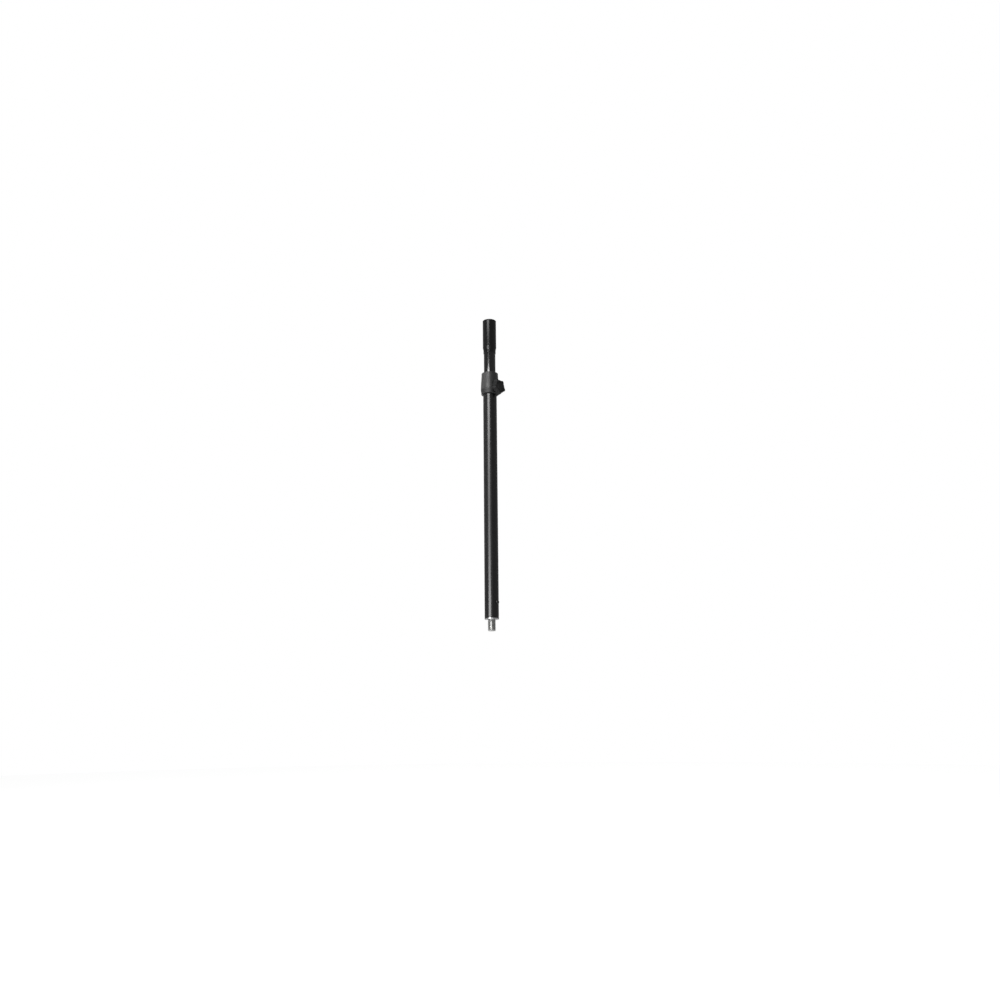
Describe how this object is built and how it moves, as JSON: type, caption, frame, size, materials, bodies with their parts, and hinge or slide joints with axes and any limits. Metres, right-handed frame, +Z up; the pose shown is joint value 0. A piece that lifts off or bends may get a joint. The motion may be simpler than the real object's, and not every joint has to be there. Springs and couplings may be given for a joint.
{
  "type": "speaker pole",
  "caption": "Telescopic pole that screws into a bass cabinet and carries a loudspeaker, with a moulded collar and a lobed clamp knob.",
  "frame": {"origin": "on the pole's axis, at the underside of the foot's flange, which rests on the bass cabinet", "axes": "+Z up along the pole, -Y towards the clamp knob"},
  "size_m": [0.0464, 0.0595, 0.8075],
  "materials": {
    "satin_black_paint": "satin black powder coat on steel",
    "gloss_black_paint": "smoother black enamel on steel",
    "grey_plastic": "fine-grained dark grey glass-filled nylon",
    "black_plastic": "matte black moulded plastic",
    "bush_nylon": "smooth black nylon",
    "black_steel": "blackened steel screws and rivets",
    "zinc_steel": "zinc plated steel",
    "plug_aluminium": "turned aluminium",
    "insert_brass": "turned brass"
  },
  "bodies": {
    "lower_pole": {"outer_tube": "satin_black_paint", "base_plug": "plug_aluminium", "base_stud": "zinc_steel", "stud_cross_pin": "zinc_steel", "base_screw": "black_steel", "guide_bush": "bush_nylon", "clamp_collar": "grey_plastic", "collar_screw_lower": "black_steel", "collar_screw_upper": "black_steel", "threaded_insert": "insert_brass"},
    "clamp_pad": {"pressure_pad": "bush_nylon"},
    "clamp_screw": {"clamp_bolt": "zinc_steel", "clamp_knob": "black_plastic", "knob_cap": "black_plastic"},
    "upper_pole": {"inner_tube": "gloss_black_paint", "top_sleeve": "satin_black_paint", "top_cap": "black_plastic", "sleeve_rivet_front": "black_steel", "sleeve_rivet_rear": "black_steel", "glide_bush": "bush_nylon", "bush_rivet_front": "plug_aluminium", "bush_rivet_rear": "plug_aluminium"}
  },
  "joints": [
    {"name": "height_slide", "type": "slide", "parent": "lower_pole", "child": "upper_pole", "axis": [0, 0, 1], "range_m": [-0.0554, 0.41]},
    {"name": "clamp_travel", "type": "slide", "parent": "lower_pole", "child": "clamp_pad", "axis": [0, -1, 0], "range_m": [0, 0.0019]},
    {"name": "knob_turn", "type": "hinge", "parent": "clamp_pad", "child": "clamp_screw", "pos_m": [0, 0, 0.5907], "axis": [0, -1, 0], "range_deg": [0, 540]}
  ],
  "couplings": [
    {"joint": "clamp_travel", "follows": "knob_turn", "m_per_rad": 0.00019894}
  ]
}
